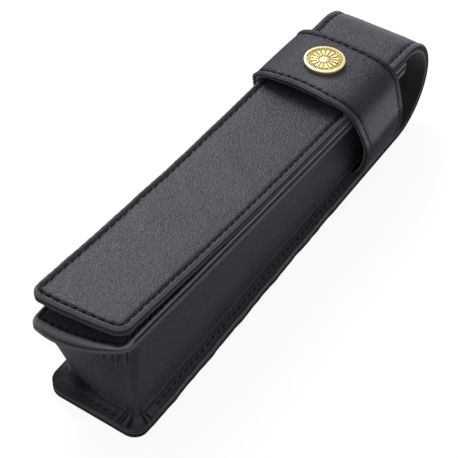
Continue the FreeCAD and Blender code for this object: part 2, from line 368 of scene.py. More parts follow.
liningLook = dict(  # short nap
    dark=(0.008, 0.0085, 0.011), light=(0.014, 0.0145, 0.018), stops=(0.35, 0.65), tip=(0.022, 0.022, 0.027),
    tipRange=(0.6, 0.45, 0.75), edge=(0.036, 0.036, 0.042), layer="rim", cover=1.0, rough=(0.72, 0.9, 0.3, 0.7),
    glossFine=False, relief=(0.4, 0.0001),
    shader={"Specular IOR Level": 0.15, "Sheen Weight": 0.2, "Sheen Roughness": 0.6},
    tint={"Scale": 110.0, "Detail": 3.0, "Distortion": 1.2}, fine={"Scale": 2600.0, "Detail": 6.0, "Roughness": 0.7}
)
threadLook = dict(  # twist
    dark=(0.005, 0.005, 0.007), light=(0.013, 0.013, 0.017), stops=(0.2, 0.8), rough=(0.75, 0.55), glossFine=False,
    relief=(0.5, 0.00008), shader={"Specular IOR Level": 0.12}, turn={"Rotation": (0.5, 0.4, 0.8)}, kind="TexWave",
    tint={"Scale": 620.0, "Distortion": 1.5, "Detail": 2.0}
)
badgeLook = dict(  # fine scratches
    dark=(0.74, 0.62, 0.31), light=(0.82, 0.71, 0.40), stops=(0.3, 0.7), edge=(0.30, 0.21, 0.07), layer="sunk",
    cover=0.9, rough=(0.17, 0.31, 0.3, 0.7), glossFine=True, relief=(0.06, 0.00005), shader={"Metallic": 1.0},
    tint={"Scale": 240.0, "Detail": 4.0}, fine={"Scale": 2400.0, "Detail": 2.0, "Distortion": 2.0}
)
washerLook = dict(badgeLook, dark=(0.55, 0.43, 0.22), light=(0.66, 0.52, 0.28), rough=(0.33, 0.47, 0.3, 0.7))
boardLook = dict(  # fibres
    dark=(0.16, 0.15, 0.13), light=(0.27, 0.25, 0.22), stops=(0.35, 0.65), rough=(0.7, 0.95), glossFine=False,
    relief=(0.3, 0.0001), shader={"Specular IOR Level": 0.2}, turn={"Scale": (0.25, 1.0, 1.0)},
    tint={"Scale": 900.0, "Detail": 6.0, "Roughness": 0.7}
)
liningSkin = plainFinish("liningSkin", liningLook)
blackThread = plainFinish("blackThread", threadLook)
badgeGold = plainFinish("badgeGold", badgeLook)
washerBrass = plainFinish("washerBrass", washerLook)
boardFibre = plainFinish("boardFibre", boardLook)
for cadName, finish in (("back_board", boardFibre), ("tongue_board", boardFibre), ("badge_washer", washerBrass)):
    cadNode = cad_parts[cadName]
    cadNode.data.materials.clear()
    cadNode.data.materials.append(finish)
print("pen case: finishes mixed")


def dress(piece, finish, degrees=50):  # smooth shading up to an angle, and the material
    selectOnly(piece)
    bpy.ops.object.shade_smooth_by_angle(angle=radians(degrees))
    piece.data.materials.clear()
    piece.data.materials.append(finish)


def cutBlank(name, spec):  # flat outline: square at the start, rounded and bowed at the far end
    length, half = spec["length"] * mm, spec["half"] * mm
    blank = newBlank(name, bpy.ops.mesh.primitive_plane_add, size=1)
    editOn(blank)
    bpy.ops.transform.resize(value=(length, 2 * half, 1), center_override=(0, 0, 0))
    bpy.ops.transform.translate(value=(length / 2, 0, -spec["roll"] * mm))
    pick(blank, "VERT", lambda c: c.x > length / 2)
    bpy.ops.transform.resize(value=(1, spec["endHalf"] / spec["half"], 1), center_override=(length, 0, 0))
    if spec["corner"] > 0:
        bpy.ops.mesh.bevel(offset=spec["corner"] * mm, segments=spec["cornerSteps"], affect="VERTICES",
                           clamp_overlap=False)
        pick(blank, "EDGE", lambda c: c.x > length - 0.01 * mm and abs(c.y) < 0.01 * mm)
        bpy.ops.mesh.subdivide(number_cuts=spec["endCuts"])
        bm = bmesh.from_edit_mesh(blank.data)
        for v in bm.verts:
            if v.co.x > length - spec["corner"] * mm * 1.01:
                v.co.x -= spec["bow"] * mm * (v.co.y / (spec["endHalf"] * mm)) ** 2
        bmesh.update_edit_mesh(blank.data)
    bpy.ops.mesh.select_mode(type="FACE")
    bpy.ops.mesh.select_all(action="SELECT")
    return blank


def insetBy(width, depth=0.0):
    bpy.ops.mesh.inset(thickness=width * mm, depth=depth * mm, use_boundary=True, use_even_offset=True)


def rollEdge(radius, steps):  # rounded top edge
    for step in range(steps):
        low, high = step * pi / 2 / steps, (step + 1) * pi / 2 / steps
        insetBy(radius * (cos(low) - cos(high)), radius * (sin(high) - sin(low)))


def faceLoop(piece):  # outline of the selected face
    bm = bmesh.from_edit_mesh(piece.data)
    return [(v.co.x, v.co.y) for v in next(f for f in bm.faces if f.select).verts]


def cutPanel(name, spec):
    piece = cutBlank(name, spec)
    outline = faceLoop(piece)
    rollEdge(spec["roll"], spec["rollSteps"])
    seam = None
    if spec["margin"] > 0:
        quarter, steep = spec["channel"] / 4, spec["sink"] * spec["steep"]
        gentle = spec["sink"] - steep
        insetBy(spec["margin"] - spec["roll"] - 2 * quarter)
        insetBy(quarter, -steep)
        insetBy(quarter, -gentle)
        seam = faceLoop(piece)
        insetBy(quarter, gentle)
        insetBy(quarter, steep)
    pickRim(piece)
    wall = (spec["thick"] - spec["roll"]) * mm
    bpy.ops.mesh.extrude_edges_move(TRANSFORM_OT_translate={"value": (0, 0, -wall)})
    bpy.ops.mesh.edge_face_add()
    bpy.ops.mesh.select_all(action="SELECT")
    bpy.ops.mesh.normals_make_consistent(inside=False)
    underside = -spec["thick"] * mm
    pick(piece, "EDGE", lambda c: c.z < underside + 0.001 * mm)
    bpy.ops.mesh.bevel(offset=spec["underRoll"] * mm, segments=2, affect="EDGES", clamp_overlap=False)
    bpy.ops.mesh.select_mode(type="FACE")
    for axis, cuts in (((1, 0, 0), spec["cutsAlong"]), ((0, 1, 0), spec["cutsAcross"])):
        for cut in cuts:
            bpy.ops.mesh.select_all(action="SELECT")
            bpy.ops.mesh.bisect(plane_co=Vector(axis) * (cut * mm), plane_no=axis, threshold=0.04 * mm)
    editOff()
    tidyMesh(piece)
    return piece, outline, seam


def steps(start, end, count):
    return [start + (end - start) * (i + 0.5) / count for i in range(count)]


def ease(values):
    values = np.clip(values, 0, 1)
    return values * values * (3 - 2 * values)


def markPanel(piece, spec, outline, seam):  # wear and a painted highlight along the edge, dips at the stitches, a soft crown between
    where = places(piece)
    edgeGap = nearLine(where[:, :2], outline)[0] / mm
    upper = where[:, 2] > -spec["thick"] * mm * 0.5
    rolled = where[:, 2] > -spec["roll"] * mm * spec["rolledTo"]
    # lighter rolled edges: part wear, part painted highlight
    wornAndHighlit = np.where(rolled, np.exp(-edgeGap / spec["rubWide"]), 0.0) * spec["burnishAndHighlight"]
    paint(piece, "rim", wornAndHighlit)
    inked = np.where(rolled, 0.0, np.exp(-edgeGap / spec["inkWide"])) * spec["sideInk"]
    paint(piece, "inkAndShade", inked)
    paint(piece, "sewn", np.zeros(len(where)))
    if seam is None:
        return edgeGap, inked, wornAndHighlit
    seamGap, seamRun = nearLine(where[:, :2], seam)
    inner = edgeGap - spec["margin"]
    beat = 0.5 + 0.5 * np.cos(2 * pi * seamRun / (spec["pitch"] * mm))
    inwards = np.sign(sum(a[0] * b[1] - a[1] * b[0] for a, b in zip(seam, list(seam[1:]) + [seam[0]])))
    phase = np.mod(seamRun / (spec["pitch"] * mm), 1.0) - 0.5
    slantGap = abs(inner - inwards * spec["slantRise"] * phase)  # the stitches cross the line at a slant
    dip = spec["pucker"] * np.exp(-(slantGap / spec["dipWide"]) ** 2)
    dip *= spec["dipLow"] + (1 - spec["dipLow"]) * beat
    puff = spec["puff"] * spec["pucker"] * np.exp(-((seamGap / mm - spec["puffGap"]) / spec["dipWide"]) ** 2)
    crown = spec["crown"] * ease((inner - spec["channel"] / 2) / spec["pad"])
    bead = spec["bead"] * np.sin(pi * np.clip(edgeGap / (spec["margin"] - spec["channel"] / 2), 0, 1))
    rise = np.where(inner > 0, crown, bead) + puff * (1 - beat) - dip
    where[:, 2] += np.where(upper & (edgeGap > spec["firmEdge"]), rise, 0) * mm
    holes = np.exp(-(slantGap / spec["holeWide"]) ** 2) * (spec["holeLow"] + spec["holeBeat"] * beat)
    paint(piece, "sewn", np.where(upper, holes, 0))
    setPlaces(piece, where)
    return edgeGap, inked, wornAndHighlit


def layDown(piece, lay, drop=0.0):  # bend the flat piece to its place on the case
    where = places(piece) / mm
    setPlaces(piece, [lay(p[0], p[1], p[2] - drop) for p in where])


def keepAbove(piece, level):  # nothing goes through the table
    where = places(piece)
    where[:, 2] = np.maximum(where[:, 2], level * mm)
    setPlaces(piece, where)


def makePanel(name, spec):  # cut and marked: the piece, its seam, the distance from the edge, the ink, and the wear with its painted highlight
    piece, outline, seam = cutPanel(name, spec)
    return (piece, seam, *markPanel(piece, spec, outline, seam))


def linePanel(name, spec, lay, drop, wearAndLight=None):  # a lining, cut like its panel and laid under it
    piece, seam, edgeGap = makePanel(name, spec)[:3]
    if wearAndLight:
        paint(piece, "rim", wearAndLight(places(piece)[:, 0] / mm, edgeGap))
    layDown(piece, lay, drop)
    dress(piece, liningSkin)
    return piece


# one stitch, modelled once: a short plump thread whose ends dive into the holes
stitchSpec = dict(length=2.55, radius=0.31, dive=0.3, swell=1.4, slant=0.52, pitch=2.8, shortest=0.4)


def modelStitch(spec):
    piece = newBlank("stitch", bpy.ops.mesh.primitive_uv_sphere_add, segments=8, ring_count=6, radius=1)
    editOn(piece)
    bpy.ops.transform.rotate(value=pi / 2, orient_axis="Y", center_override=(0, 0, 0))
    bpy.ops.transform.resize(value=(spec["length"] / 2 * mm, spec["radius"] * mm, spec["radius"] * mm),
                             center_override=(0, 0, 0))
    bm = bmesh.from_edit_mesh(piece.data)
    for v in bm.verts:
        share = v.co.x / (spec["length"] / 2 * mm)
        swell = 1.0 + spec["swell"] * share * share * (1 - share * share)
        v.co.y *= swell
        v.co.z *= swell
        v.co.z -= spec["dive"] * mm * abs(share) ** 3
    bmesh.update_edit_mesh(piece.data)
    editOff()
    return piece


stitch = modelStitch(stitchSpec)


def seamSpots(line, lay, sink, keep, spec, closed):  # where each stitch of a run goes
    points = [Vector((p[0], p[1])) / mm for p in line]
    if closed:
        points.append(points[0])
    lengths = [0.0]
    for a, b in zip(points, points[1:]):
        lengths.append(lengths[-1] + (b - a).length)

    def at(run):
        for i in range(len(points) - 1):
            if run <= lengths[i + 1]:
                share = (run - lengths[i]) / max(lengths[i + 1] - lengths[i], 1e-9)
                return points[i].lerp(points[i + 1], share)
        return points[-1]

    spots = []
    half = spec["length"] / 2
    for i in range(int(lengths[-1] / spec["pitch"])):
        middle = (i + 0.5) * spec["pitch"]
        a, b, centre = at(middle - half), at(middle + half), at(middle)
        left = keep and not keep(centre.x, centre.y)
        if left or (b - a).length < spec["shortest"] * spec["length"]:
            continue
        way = (b - a).normalized()
        aside = Vector((-way.y, way.x)) * spec["slant"]
        low = Vector(lay(a.x - aside.x, a.y - aside.y, -sink))
        high = Vector(lay(b.x + aside.x, b.y + aside.y, -sink))
        seat = Vector(lay(centre.x, centre.y, -sink))
        up = (Vector(lay(centre.x, centre.y, 1.0 - sink)) - seat).normalized()
        ahead = (high - low).normalized()
        across = up.cross(ahead).normalized()
        up = ahead.cross(across)
        spots.append(Matrix.Translation(seat) @ Matrix((ahead, across, up)).transposed().to_4x4())
    return spots


def sewRun(name, line, lay, spec, keep=None, thread=stitchSpec, closed=True):
    spots = seamSpots(line, lay, spec["sewSink"], keep, thread, closed)
    run = joinUp(scatter(stitch, spots))
    run.name = name
    run.data.name = name
    dress(run, blackThread, 60)
    print("pen case: sewn", name, len(spots))
    return run


sewing = dict(
    margin=2.0, channel=1.0, sink=0.34, steep=0.7, pad=4.0, crown=0.2, pitch=2.8, pucker=0.2, puff=0.7, puffGap=1.2,
    slantRise=0.8, dipWide=0.6, holeWide=0.3, bead=0.14, firmEdge=0.2, burnishAndHighlight=0.4, rubWide=0.5, sideInk=0.85,
    inkWide=0.6, underRoll=0.12, endCuts=9, sewSink=0.24, rolledTo=0.7, dipLow=0.4, holeLow=0.6, holeBeat=0.35
)
layer = dict(roll=0.12, rollSteps=1, margin=0, thick=0.7)

# the strip: back panel, mouth fold and the start of the tongue
foldTurn = pi - slope
rootRun = -foldStart - splitX
foldRun = foldRadius * foldTurn
backRun = foldX - backEnd
foldEnd = rootRun + foldRun
stripLength = foldEnd + backRun
stripSpec = dict(
    sewing, length=stripLength, half=backHalf, endHalf=backHalf, corner=5.0, cornerSteps=10, bow=0.0, roll=0.5,
    rollSteps=3, thick=skinThick, margin=2.4, bulge=0.8,
    cutsAlong=steps(0, rootRun, 24) + steps(rootRun, foldEnd, 72) + steps(foldEnd, stripLength, 90),
    cutsAcross=steps(-16.8, 16.8, 22), edgeFrom=0.6, edgeFade=12.0, edgeWide=1.2, flexIn=6.0, flexOut=14.0,
    sewFrom=6.0, sewSink=0.26
)


def layStrip(s, t, h):
    if s <= rootRun:
        wide = splitHalf + (rootHalf - splitHalf) * (s / rootRun)
        return topPoint(splitX + s, t * wide / backHalf, tongueTop + h)
    if s <= foldEnd:
        angle = foldTurn - (s - rootRun) / foldRadius
        arm = foldRadius + h + stripSpec["bulge"] * sin(pi * (angle / foldTurn) ** 2)
        wide = backHalf + (rootHalf - backHalf) * (1 - cos(angle)) / 2
        return Vector((foldX + arm * sin(angle), t * wide / backHalf,
                       foldRadius - arm * cos(angle))) * mm
    x = foldX - (s - rootRun - foldRun)
    return Vector((x, settledBase(x, t), -h)) * mm


strip, stripSeam, edgeGap, inked = makePanel("strip", stripSpec)[:4]
bend = places(strip)[:, 0] / mm - rootRun  # how far past the tongue's root
backShare = ease((bend - foldRun * stripSpec["edgeFrom"]) / stripSpec["edgeFade"])
paint(strip, "inkAndShade", np.maximum(inked, backShare * np.exp(-edgeGap / stripSpec["edgeWide"])))  # edge ink, and the back's edges darkened further as painted shade
flexIn, flexOut = stripSpec["flexIn"], stripSpec["flexOut"]
paint(strip, "flex", ease((bend + flexIn) / flexIn) * (1 - ease((bend - flexOut) / flexOut)))
layDown(strip, layStrip)
keepAbove(strip, 0.0)
dress(strip, topLeather)
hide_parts("back_leather", "fold_leather", "tongue_root_leather")

stripLiningSpec = dict(
    stripSpec, half=16.75, endHalf=16.75, length=stripLength - 0.05, cutsAcross=steps(-16, 16, 4), edgeFrom=0.3,
    edgeWide=0.25, **layer
)


def liningEdge(s, gap):  # the cut edge shows pale at the fold's upper end
    spec = stripLiningSpec
    past = (s - rootRun - foldRun * spec["edgeFrom"]) / spec["edgeFade"]
    return (1 - ease(past)) * np.exp(-gap / spec["edgeWide"])


stripLining = linePanel("stripLining", stripLiningSpec, layStrip, skinThick, liningEdge)
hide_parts("back_lining", "fold_lining", "tongue_root_lining")

stripThread = sewRun("stripThread", stripSeam, layStrip, stripSpec, lambda s, t: s > stripSpec["sewFrom"])
keepAbove(stripThread, 0.06)  # clear of the table
for piece in (strip, stripLining, stripThread):
    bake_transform(piece)
print("pen case: strip folded")

# the free tongue
curlRun = liftX - tipX
curlRadius = (curlRun ** 2 + tongueRise ** 2) / (2 * tongueRise)
tongueLength = splitX - tipX
tongueSpec = dict(
    sewing, length=tongueLength, half=splitHalf, endHalf=tipHalf, corner=3.4, cornerSteps=10, bow=0.9, roll=0.85,
    rollSteps=6, thick=skinThick, margin=1.9, burnishAndHighlight=0.5, sideInk=0.8, pucker=0.26, bead=0.24,
    cutsAlong=steps(0, tongueLength, 150), cutsAcross=steps(-14.8, 14.8, 36), sewFrom=4.0
)
tongueSet = dict(
    lean=0.6, leanFrom=60.0, leanRun=90.0, skew=0.10, long=0.85, tipWander=0.08, tipFrom=90.0, tipRun=58.0,
    freeFrom=48.0, freeRun=20.0, liftWander=0.12, sideWander=0.06, liftPace=0.5, liftCross=0.4, liftSeed=1.7,
    sidePace=0.6, sideSeeds=(0.4, 2.9), tipSeed=5.2
)


def layTongue(s, t, h):
    spec = tongueSet
    along = splitX - s
    lift = tongueTop + h
    if along < liftX:
        middle = slideLift + curlRadius
        lift = middle - sqrt((middle - lift) ** 2 - (along - liftX) ** 2)
    late = easeIn((-along - spec["tipFrom"]) / spec["tipRun"])
    free = easeIn((-along - spec["freeFrom"]) / spec["freeRun"])
    lift += spec["liftWander"] * free * uneven(along * spec["liftPace"] + t * spec["liftCross"], spec["liftSeed"])
    sway = uneven(along * spec["sidePace"], spec["sideSeeds"][0 if t > 0 else 1])
    t += spec["sideWander"] * free * t / tipHalf * sway
    along -= (spec["skew"] * -t + spec["long"]) * late + spec["tipWander"] * late * uneven(t, spec["tipSeed"])
    return topPoint(along, -t + spec["lean"] * easeIn((-along - spec["leanFrom"]) / spec["leanRun"]), lift)


tongue, tongueSeam = makePanel("tongue", tongueSpec)[:2]
layDown(tongue, layTongue)
dress(tongue, topLeather)
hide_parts("tongue_leather")

tongueLiningSpec = dict(
    tongueSpec, length=tongueLength - 0.05, half=15.97, endHalf=14.75, burnishAndHighlight=0.1, cutsAcross=steps(-14, 14, 4),
    cutsAlong=steps(0, tongueLength, 50), **layer
)
tongueLining = linePanel("tongueLining", tongueLiningSpec, layTongue, skinThick)
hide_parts("tongue_lining")

tongueThread = sewRun("tongueThread", tongueSeam, layTongue, tongueSpec, lambda s, t: s > tongueSpec["sewFrom"])
for piece in (tongue, tongueLining, tongueThread):
    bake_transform(piece)
print("pen case: tongue laid")

# the front panel
frontSpec = dict(
    sewing, length=frontLength, half=16.9, endHalf=15.4, corner=2.3, cornerSteps=12, bow=1.2, roll=0.5, rollSteps=5,
    thick=skinThick, margin=1.7, burnishAndHighlight=1.0, sideInk=0.0, cutsAlong=steps(0, 120, 50) + steps(120, 153, 40),
    cutsAcross=steps(-15, 15, 28), wander=0.06, wanderFrom=46.0, wanderRun=20.0, wanderHalf=16.0, wanderPace=0.6,
    wanderSeeds=(3.6, 0.9)
)
# painted light on the front panel: a painted highlight along its rolled edge and painted shade on its top under the
# tongue; paintLevel is where the edge ink starts on the long sides
frontInkAndLight = dict(
    lipFrom=147.0, lipFade=5.0, paintLevel=-0.42, sideDepth=0.5, lipDepth=0.6, depthFade=0.2, lipHighlight=0.55,
    lipShade=0.75, sideShade=0.35, shadeFrom=0.6, shadeFade=0.8
)


def layFront(s, t, h):
    late = easeIn((s - frontSpec["wanderFrom"]) / frontSpec["wanderRun"])
    sway = uneven(s * frontSpec["wanderPace"], frontSpec["wanderSeeds"][0 if t > 0 else 1])
    t += frontSpec["wander"] * (t / frontSpec["wanderHalf"]) * late * sway
    along, side = settledLip(-s, -t, -h / panelThick)
    return topPoint(along, side, panelThick + h)


front, frontSeam, edgeGap = makePanel("front", frontSpec)[:3]
where = places(front) / mm
nearEdge = np.exp(-edgeGap / frontSpec["rubWide"])
wearAndLight = frontInkAndLight
longSide = 1 - ease((where[:, 0] - wearAndLight["lipFrom"]) / wearAndLight["lipFade"])
deep = wearAndLight["sideDepth"] + wearAndLight["lipDepth"] * (1 - longSide)  # the painted highlight reaches all the way down the lip's end
paintedHighlight = np.clip((where[:, 2] + deep) / wearAndLight["depthFade"], 0, 1)
# painted highlight along the front's rolled edge, weaker on the lip's end
paint(front, "rim", nearEdge * paintedHighlight * (wearAndLight["lipHighlight"] + (1 - wearAndLight["lipHighlight"]) * longSide))
shadeUnderTongue = wearAndLight["lipShade"] + (wearAndLight["sideShade"] - wearAndLight["lipShade"]) * longSide  # painted shade, darker under the tongue
shadeUnderTongue *= ease((edgeGap - wearAndLight["shadeFrom"]) / wearAndLight["shadeFade"])
# dark edge ink on the long sides below the paint level, plus the painted shade under the tongue
paint(front, "inkAndShade", nearEdge * longSide * (where[:, 2] < wearAndLight["paintLevel"]) + shadeUnderTongue)
layDown(front, layFront)
dress(front, topLeather)
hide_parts("front_leather")
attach(front, "case")

frontLiningSpec = dict(
    frontSpec, length=153.15, half=16.85, endHalf=15.35, cutsAlong=steps(0, 153, 40), cutsAcross=steps(-14, 14, 4),
    **layer
)
frontLining = linePanel("frontLining", frontLiningSpec, layFront, skinThick)
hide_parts("front_lining")
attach(frontLining, "case")

frontBoardSpec = dict(
    frontLiningSpec, length=147.9, half=14.3, endHalf=12.8, corner=2.0, thick=0.8, start=2.6, drop=1.1
)
frontBoard = cutPanel("frontBoard", frontBoardSpec)[0]
layDown(frontBoard, lambda s, t, h: layFront(s + frontBoardSpec["start"], t, h), frontBoardSpec["drop"])
dress(frontBoard, boardFibre)
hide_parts("front_board")
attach(frontBoard, "case")

frontThread = sewRun("frontThread", frontSeam, layFront, frontSpec)
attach(frontThread, "case")
print("pen case: front panel sewn")

# the gusset: one strip bent round the end, both edges turned out
gussetSpec = dict(
    half=12.5, stop=foldX - 0.5, end=backEnd + 5.6, corner=2.4, thick=1.2, softEdge=0.16, sideCells=70,
    cornerCells=48, endCells=60, lowBend=0.8, topBend=1.9, flareFar=15.0, flareNear=9.0, flareEdge=0.3,
    sideTurn=0.6, sag=0.3, cornerPinch=0.5, footSkew=0.18, endLean=5.6, leanFrom=-60.0, leanRun=14.0, turnFrom=0.85,
    turnRun=0.15, turnBack=0.25, sagWave=0.4, sagTurned=0.5, skewFrom=1.0, leanRise=0.6
)
# pleats under the lip and gathers at the foot, by their run from the near corner in millimetres
foldSpec = dict(
    endRun=18.6, cornerRun=4.0, sideRun=140.0, pleatPitch=1.9, pleatDepth=0.7, pleatWide=0.26, pleatFrom=-8.0,
    pleatTo=1.5, pleatFade=2.0, pleatLow=0.62, pleatHigh=0.88, gatherPitch=1.25, gatherDepth=0.5, gatherWide=0.2,
    gatherFrom=-4.0, gatherTo=9.0, gatherFade=3.0, gatherRise=0.05, jitter=0.35, jitterPace=1.9, crest=0.3,
    outside=-99.0, swing=0.25, swingPace=1.9, swingStart=1.0, gatherIn=2.0, gatherOut=1.5, hang=0.05, hangPace=2.7,
    hangFade=0.06, highFade=0.08
)
sagWaves = ((0.6, 0.071, 0.0, 0.8), (0.4, 0.163, 0.2, 0.0))  # height, pace along and across, and start
rowCells = dict(lowFlange=6, lowBend=6, wall=20, topBend=14, topFlange=5)
footRow = rowCells["lowFlange"] + rowCells["lowBend"]
backEdge = dict(half=16.7, taper=0.0, end=backEnd + 0.1, corner=4.9, bow=0.0)
frontEnd = topPoint(-frontLength, 0, 0).x / mm
frontEdge = dict(half=15.32, taper=1.5 / 153.0, end=frontEnd + 0.08, corner=2.22, bow=1.2)


def outlineGap(x, y, half, taper, end, corner, bow):  # how far inside a rounded panel outline a point is
    wide = half + taper * (x - end)
    ahead = end + bow * (y / wide) ** 2 + corner - x
    aside = abs(y) - (wide - corner)
    outside = hypot(max(ahead, 0), max(aside, 0))
    return corner - outside - min(max(ahead, aside), 0)


def rayReach(x, y, dx, dy, panel):  # how far out the panel's edge is from the wall
    run = 0.0
    for i in range(40):
        run += outlineGap(x + dx * run, y + dy * run, **panel)
    return run


def topLevel(x):  # underside of the front panel
    return mouthZ + (mouthX - x) * leanSin / leanCos


def wallStation(share):  # place, outward direction, zone and share of the zone on the wall
    spec = gussetSpec
    cells = [spec["sideCells"], spec["cornerCells"], spec["endCells"], spec["cornerCells"], spec["sideCells"]]
    step = share * sum(cells)
    bendX, bendY = spec["end"] + spec["corner"], spec["half"] - spec["corner"]
    for zone, count in enumerate(cells):
        if step <= count + 1e-6 or zone == 4:
            part = min(step / count, 1.0)
            break
        step -= count
    if zone == 0:
        return spec["stop"] + (bendX - spec["stop"]) * part, spec["half"], 0.0, 1.0, zone, part
    if zone == 2:
        return spec["end"], bendY - 2 * bendY * part, -1.0, 0.0, zone, part
    if zone == 4:
        return bendX + (spec["stop"] - bendX) * part, -spec["half"], 0.0, -1.0, zone, part
    side = 1 if zone == 1 else -1
    turn = (part if zone == 1 else 1 - part) * pi / 2
    dx, dy = -sin(turn), side * cos(turn)
    return bendX + spec["corner"] * dx, side * bendY + spec["corner"] * dy, dx, dy, zone, part


def gussetRow(index, lowReach, topReach, topBend, topDrop, height):  # distance out from the wall and level, by row
    base, lowBend = flangeTop, gussetSpec["lowBend"]
    under = height - gussetSpec["thick"]
    for band, count in rowCells.items():
        share = index / count
        if index <= count:
            break
        index -= count
    turn = share * pi / 2
    return {"lowFlange": (lowReach + (lowBend - lowReach) * share, base),
            "lowBend": (lowBend * (1 - sin(turn)), base + lowBend * (1 - cos(turn))),
            "wall": (0.0, base + lowBend + (under - topDrop - base - lowBend) * share),
            "topBend": (topBend * (1 - cos(turn)), under - topDrop * (1 - sin(turn))),
            "topFlange": (topBend + (topReach - topBend) * share, under)}[band]


def settleGusset(x, y, share, out=0.0):  # its foot follows the back panel, its top the front panel
    spec = gussetSpec
    top = easeIn(share)
    along = (x - mouthX) / leanCos
    lipAlong, lipSide = settledLip(along, y, 1.0)
    late = easeIn((spec["leanFrom"] - x) / spec["leanRun"])
    footX = x + spec["footSkew"] * max(y + spec["skewFrom"], 0.0) * late
    risen = min(max(share, 0.0), 1.0) ** spec["leanRise"]
    sway = spec["endLean"] * (y / spec["half"] + 1) / 2 * late * risen * (1 - out)
    footY = settledBase(x, y)
    x += (lipAlong - along) * leanCos * top + (footX - x) * (1 - top) - sway
    return x, lipSide * top + footY * (1 - top)


def gathers(run, kind):  # narrow valleys between two ends of a run
    beat = (run + foldSpec["jitter"] * sin(foldSpec["jitterPace"] * run)) / foldSpec[kind + "Pitch"]
    valley = foldSpec["crest"] - exp(-(abs(beat - round(beat)) / foldSpec[kind + "Wide"]) ** 2)
    fade = foldSpec[kind + "Fade"]
    shown = easeIn((run - foldSpec[kind + "From"]) / fade) * easeIn((foldSpec[kind + "To"] - run) / fade)
    return valley * foldSpec[kind + "Depth"] * shown


def gussetPlace(share, row):
    spec, folds = gussetSpec, foldSpec
    x, y, dx, dy, zone, part = wallStation(share)
    side = spec["sideTurn"]
    turned = (side * easeIn((part - spec["turnFrom"]) / spec["turnRun"]), side + (1 - side) * easeIn(part), 1.0,
              1.0 - (1 - side) * easeIn(part), side - side * easeIn(part / spec["turnBack"]))[zone]
    flare = spec["flareFar"] + (spec["flareNear"] - spec["flareFar"]) * (0.0, 0.0, part, 1.0, 1.0)[zone]
    lowReach, topReach = rayReach(x, y, dx, dy, backEdge), rayReach(x, y, dx, dy, frontEdge)
    topBend = spec["topBend"] + (topReach - spec["flareEdge"] - spec["topBend"]) * turned
    topDrop = spec["topBend"] + (flare - spec["topBend"]) * turned
    out, z = gussetRow(row, lowReach, topReach, topBend, topDrop, topLevel(x))
    if row > footRow:
        z += (topLevel(x + dx * out) - topLevel(x)) * easeIn((row - footRow) / rowCells["wall"])
    wallShare = (z - flangeTop) / (topLevel(x) - spec["thick"] - flangeTop)
    belly = sin(pi * min(max(wallShare, 0), 1))
    wave = sum(height * sin(x * pace + y * cross + start) for height, pace, cross, start in sagWaves)
    sag = -spec["sag"] * belly * (1 - spec["sagWave"] + spec["sagWave"] * wave) * (1 - spec["sagTurned"] * turned)
    run = (folds["outside"], folds["outside"], (part - 1) * folds["endRun"], part * folds["cornerRun"],
           folds["cornerRun"] + part * folds["sideRun"])[zone]
    swing = 1 - folds["swing"] + folds["swing"] * sin(run * folds["swingPace"] + folds["swingStart"])
    high = gathers(run, "pleat") * swing
    low = gathers(run, "gather")
    if row <= rowCells["lowFlange"]:
        low *= min((rowCells["lowFlange"] + 1 - row) / folds["gatherIn"], row / folds["gatherOut"], 1.0)
        return Vector((x + dx * out, settledBase(x, y + dy * out), z + low)) * mm, low
    edgeShare = min(out / topReach, 1.0)
    pleat = 0.0
    if row < sum(rowCells.values()) - rowCells["topFlange"]:
        pinch = spec["cornerPinch"] * sin(pi * part) * (1 - wallShare) if zone in (1, 3) else 0.0
        hang = folds["pleatLow"] + folds["hang"] * sin(run * folds["hangPace"])  # the pleats end unevenly
        pleat = low * exp(-max(wallShare, 0) / folds["gatherRise"])
        high *= easeIn((wallShare - hang) / folds["hangFade"])
        pleat += high * (1 - easeIn((wallShare - folds["pleatHigh"]) / folds["highFade"]))
        out += sag + pinch + pleat
    px, py = settleGusset(x + dx * out, y + dy * out, wallShare, edgeShare)
    return Vector((px, py, z)) * mm, pleat


def bendGusset(columns):
    rows = sum(rowCells.values())
    piece = newBlank("gusset", bpy.ops.mesh.primitive_grid_add, x_subdivisions=columns, y_subdivisions=rows, size=1)
    flat = places(piece) + 0.5
    spots = [gussetPlace(p[0], p[1] * rows) for p in flat]
    setPlaces(piece, [spot for spot, fold in spots])
    paintGussetLight(piece, flat[:, 0], flat[:, 1] * rows, np.array([fold for spot, fold in spots]))
    return piece


# painted light on the gusset: painted highlights on its top edge, by the near corner and on the fold ridges, a
# lighter flange and lower wall; painted shade in the folds, along the crease at the foot of the wall and at the far
# end of the flange
gussetPaintedLight = dict(
    topEdgeHighlight=0.55, topRows=1.6, lowWallLight=0.3, corner=0.1, cornerAt=0.615, cornerWide=0.03, crease=0.8, creaseRows=1.2,
    ridgeHighlight=0.5, farShade=0.55, endEdgeDark=0.3, endSoft=0.1, endFrom=2.0, farTo=0.52, farSoft=0.12, flangeRows=3,
    flangeOut=0.4, farDark=0.9, lowWallFall=1.5, creaseAt=0.5, ridgeHigh=0.3, valleyDeep=0.25
)


